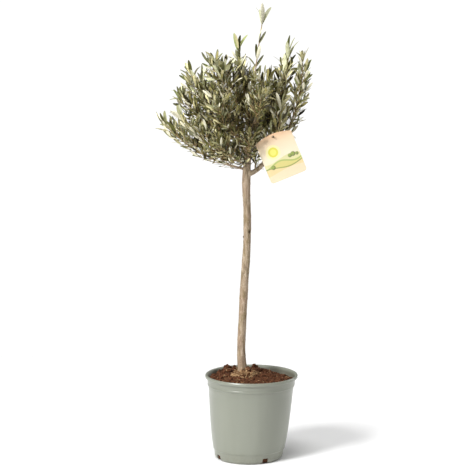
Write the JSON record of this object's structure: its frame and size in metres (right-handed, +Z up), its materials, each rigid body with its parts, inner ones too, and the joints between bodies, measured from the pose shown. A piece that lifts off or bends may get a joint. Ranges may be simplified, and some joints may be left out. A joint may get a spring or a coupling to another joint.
{
  "type": "potted olive tree",
  "caption": "Young olive tree grown as a standard: a slim bare trunk under a loose round crown of narrow grey-green leaves, in a round plastic nursery pot, with a card label hung in the crown.",
  "frame": {"origin": "middle of the pot's flat underside", "axes": "+Z up along the plant, -Y towards the side that the picture shows, +X to the picture's right"},
  "size_m": [0.3389, 0.2574, 0.9387],
  "materials": {
    "pot": "satin",
    "compost": "matte",
    "bark": "matte",
    "foliage": "satin",
    "card": "satin"
  },
  "bodies": {
    "root": {"pot": "pot", "compost": "compost", "trunk": "bark", "leading_limb": "bark", "side_arm": "bark", "bough_low_left": "bark", "bough_left_under": "bark", "bough_left": "bark", "bough_upper_left": "bark", "bough_top_left": "bark", "bough_top_middle": "bark", "bough_leader": "bark", "bough_top_right": "bark", "bough_right_tall": "bark", "bough_far_right": "bark", "bough_right_under": "bark", "bough_front_left": "bark", "bough_front_right": "bark", "bough_front_low": "bark", "bough_front_under": "bark", "bough_back_left": "bark", "bough_back_right": "bark", "bough_back_top": "bark", "bough_back_low": "bark", "bough_back_under": "bark", "label_twig": "bark", "foliage_low_left": "foliage", "foliage_left_under": "foliage", "foliage_left": "foliage", "foliage_upper_left": "foliage", "foliage_top_left": "foliage", "foliage_top_middle": "foliage", "foliage_leader": "foliage", "foliage_top_right": "foliage", "foliage_right_tall": "foliage", "foliage_far_right": "foliage", "foliage_right_under": "foliage", "foliage_front_left": "foliage", "foliage_front_right": "foliage", "foliage_front_low": "foliage", "foliage_front_under": "foliage", "foliage_back_left": "foliage", "foliage_back_right": "foliage", "foliage_back_top": "foliage", "foliage_back_low": "foliage", "foliage_back_under": "foliage", "label_card": "card"}
  },
  "joints": []
}
